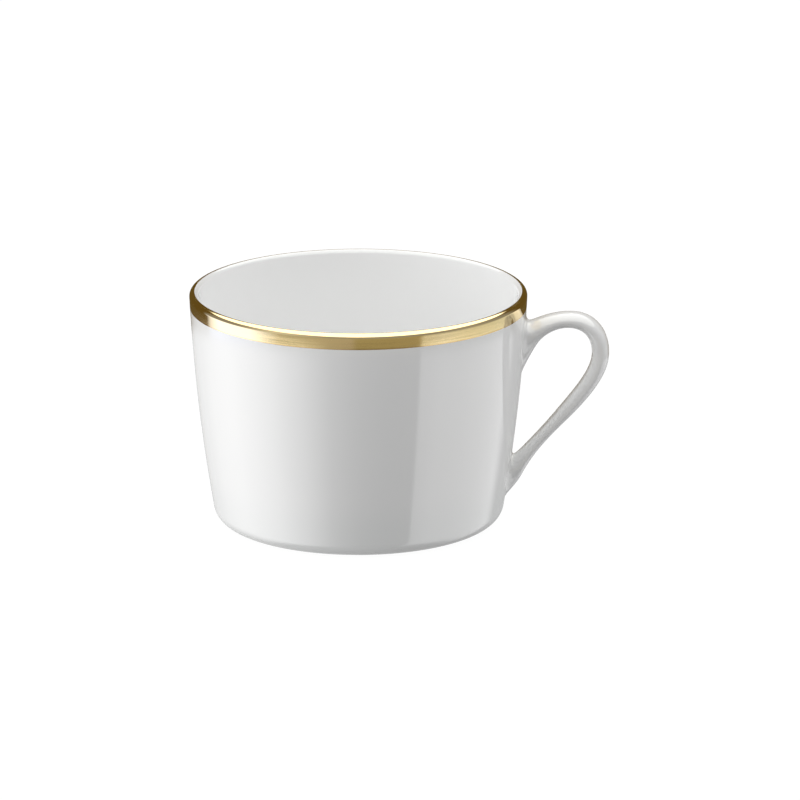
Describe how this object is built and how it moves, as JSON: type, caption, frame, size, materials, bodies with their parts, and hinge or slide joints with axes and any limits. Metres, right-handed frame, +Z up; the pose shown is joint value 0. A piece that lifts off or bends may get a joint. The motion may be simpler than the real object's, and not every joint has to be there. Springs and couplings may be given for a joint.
{
  "type": "teacup",
  "caption": "Straight-sided glazed porcelain teacup with a gold rim band, a low bare foot ring and an ear-shaped loop handle luted to the wall at both ends.",
  "frame": {"origin": "on the cup's axis, in the plane that the foot ring stands on", "axes": "+Z up along the cup's axis, +X from the axis through the handle, +Y to the left of someone who looks along the handle from the axis"},
  "size_m": [0.1071, 0.0862, 0.0605],
  "materials": {
    "glazed_porcelain": "clear gloss glaze over white clay",
    "bare_porcelain": "unglazed, polished smooth, faintly grey from use",
    "gold_lustre": "fired bright gold, polished"
  },
  "bodies": {
    "root": {"cup_body": "glazed_porcelain", "foot_ring": "bare_porcelain", "gold_rim_band": "gold_lustre", "handle": "glazed_porcelain", "upper_handle_joint": "glazed_porcelain", "lower_handle_joint": "glazed_porcelain"}
  },
  "joints": []
}
